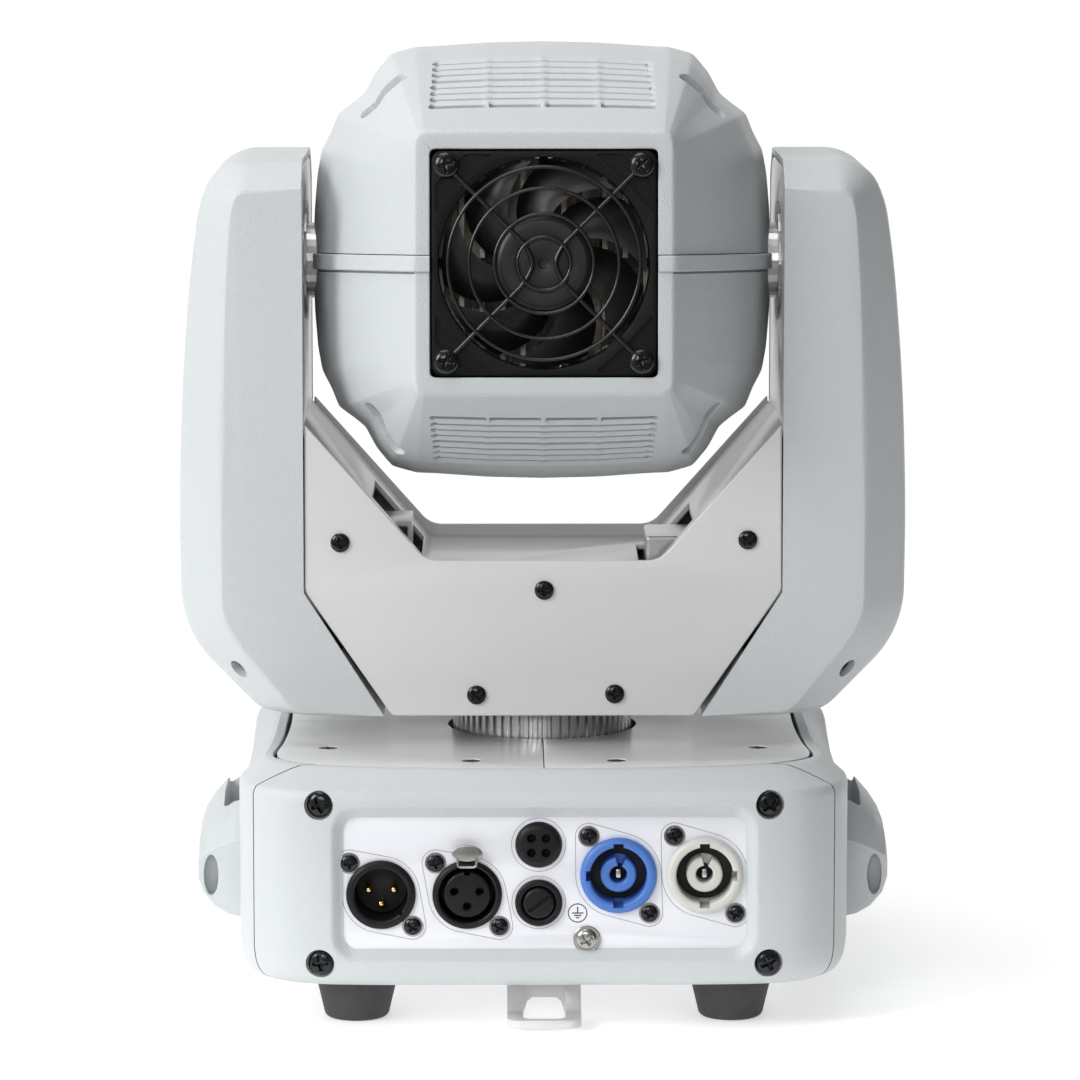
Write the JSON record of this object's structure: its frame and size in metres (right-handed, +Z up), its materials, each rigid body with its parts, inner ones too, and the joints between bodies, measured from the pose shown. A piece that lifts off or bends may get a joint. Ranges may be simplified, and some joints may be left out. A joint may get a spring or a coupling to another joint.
{
  "type": "moving head light",
  "caption": "Moving head light: boxy base with a connector panel and rubber feet, a U-shaped yoke that pans, and a round-edged lamp head with a rear fan that tilts.",
  "frame": {"origin": "on the plane the rubber feet stand on, under the pan axis, at the centre of the base", "axes": "+Z up along the pan axis; -Y towards the connector panel and the head's fan; +X to the right when facing the connector panel, along the tilt axis"},
  "size_m": [0.234, 0.1968, 0.3067],
  "materials": {
    "grained_shell": "fine leather grain, cool light grey",
    "white_paint": "glossy powder coat",
    "panel_sheet": "satin",
    "black_plastic": "moulded, satin",
    "motor_black": "satin",
    "black_wire": "semi-gloss",
    "black_rubber": "matt",
    "aluminium": "brushed",
    "steel": "bright",
    "blue_plastic": "satin",
    "grey_plastic": "satin",
    "bezel_black": "satin",
    "circuit": "solder mask",
    "screen": "gloss",
    "lens_glass": "polished"
  },
  "bodies": {
    "base": {"base_chassis": "aluminium", "base_front_shell": "grained_shell", "base_rear_shell": "grained_shell", "base_side_shell_left": "grained_shell", "base_side_shell_right": "grained_shell", "handle_left": "grained_shell", "handle_right": "grained_shell", "top_plate_left": "white_paint", "top_plate_right": "white_paint", "connector_panel": "panel_sheet", "dmx_in_socket": "black_plastic", "dmx_out_socket": "black_plastic", "power_in_socket": "blue_plastic", "power_out_socket": "grey_plastic", "fuse_holder": "black_plastic", "mic_cap": "black_plastic", "safety_loop": "white_paint", "foot_front_left": "black_rubber", "foot_front_right": "black_rubber", "foot_rear_left": "black_rubber", "foot_rear_right": "black_rubber", "power_supply": "aluminium", "control_board": "circuit", "display_panel": "screen", "pan_motor": "motor_black", "pan_belt": "black_rubber", "pan_bearing": "steel"},
    "yoke": {"yoke_frame": "white_paint", "yoke_cover_front": "white_paint", "yoke_cover_rear": "white_paint", "arm_cover_left": "grained_shell", "arm_cover_right": "grained_shell", "pan_pulley": "aluminium", "tilt_motor": "motor_black", "tilt_belt": "black_rubber", "tilt_bearing_left": "steel", "tilt_bearing_right": "steel", "loom_bracket": "white_paint"},
    "head": {"head_frame": "aluminium", "head_shell_upper": "grained_shell", "head_shell_lower": "grained_shell", "tilt_pulley": "aluminium", "fan_frame": "black_plastic", "fan_guard": "black_wire", "heatsink": "aluminium", "led_module": "circuit", "lens_bezel": "bezel_black", "front_lens": "lens_glass"},
    "fan": {"fan_rotor": "black_plastic"},
    "colour_wheel": {"colour_wheel": "lens_glass"},
    "gobo_wheel": {"gobo_wheel": "steel"},
    "focus_carriage": {"focus_lens": "lens_glass"},
    "pan_pinion": {"pan_pinion": "aluminium"},
    "tilt_pinion": {"tilt_pinion": "aluminium"},
    "key_menu": {"button_menu": "black_plastic"},
    "key_up": {"button_up": "black_plastic"},
    "key_enter": {"button_enter": "black_plastic"},
    "key_down": {"button_down": "black_plastic"},
    "latch": {"dmx_out_latch": "steel"},
    "fuse_cap": {"fuse_cap": "black_plastic"}
  },
  "joints": [
    {"name": "pan", "type": "hinge", "parent": "base", "child": "yoke", "pos_m": [0, 0, 0.09], "axis": [0, 0, 1], "range_deg": [-270, 270]},
    {"name": "tilt", "type": "hinge", "parent": "yoke", "child": "head", "pos_m": [0, 0, 0.2355], "axis": [1, 0, 0], "range_deg": [-41.2, 228.8]},
    {"name": "fan_spin", "type": "hinge", "parent": "head", "child": "fan", "pos_m": [0, -0.06995, 0.24015], "axis": [0, 0.9978, -0.0663], "continuous": true},
    {"name": "colour_wheel_spin", "type": "hinge", "parent": "head", "child": "colour_wheel", "pos_m": [0, -0.01198, 0.25734], "axis": [0, 0.9978, -0.0663], "continuous": true},
    {"name": "gobo_wheel_spin", "type": "hinge", "parent": "head", "child": "gobo_wheel", "pos_m": [0, -0.00379, 0.21471], "axis": [0, 0.9978, -0.0663], "continuous": true},
    {"name": "focus", "type": "slide", "parent": "head", "child": "focus_carriage", "axis": [0, 0.9978, -0.0663], "range_m": [-0.004, 0.012]},
    {"name": "pan_pinion_spin", "type": "hinge", "parent": "base", "child": "pan_pinion", "pos_m": [0, 0.062, 0.0625], "axis": [0, 0, 1], "range_deg": [-1360, 1360]},
    {"name": "tilt_pinion_spin", "type": "hinge", "parent": "yoke", "child": "tilt_pinion", "pos_m": [0.08475, 0.003, 0.1302], "axis": [1, 0, 0], "range_deg": [-170, 920]},
    {"name": "press_menu", "type": "slide", "parent": "base", "child": "key_menu", "axis": [0, -1, 0], "range_m": [0, 0.0008], "stiffness_N_per_m": 300, "springref_m": -0.0005},
    {"name": "press_up", "type": "slide", "parent": "base", "child": "key_up", "axis": [0, -1, 0], "range_m": [0, 0.0008], "stiffness_N_per_m": 300, "springref_m": -0.0005},
    {"name": "press_enter", "type": "slide", "parent": "base", "child": "key_enter", "axis": [0, -1, 0], "range_m": [0, 0.0008], "stiffness_N_per_m": 300, "springref_m": -0.0005},
    {"name": "press_down", "type": "slide", "parent": "base", "child": "key_down", "axis": [0, -1, 0], "range_m": [0, 0.0008], "stiffness_N_per_m": 300, "springref_m": -0.0005},
    {"name": "latch_press", "type": "slide", "parent": "base", "child": "latch", "axis": [0, 1, 0], "range_m": [0, 0.0012], "stiffness_N_per_m": 400, "springref_m": -0.0005},
    {"name": "fuse_cap_turn", "type": "hinge", "parent": "base", "child": "fuse_cap", "pos_m": [-0.0018, -0.0942, 0.0414], "axis": [0, -1, 0], "range_deg": [0, 90]}
  ],
  "couplings": [
    {"joint": "pan_pinion_spin", "follows": "pan", "ratio": 5},
    {"joint": "tilt_pinion_spin", "follows": "tilt", "ratio": 4}
  ]
}
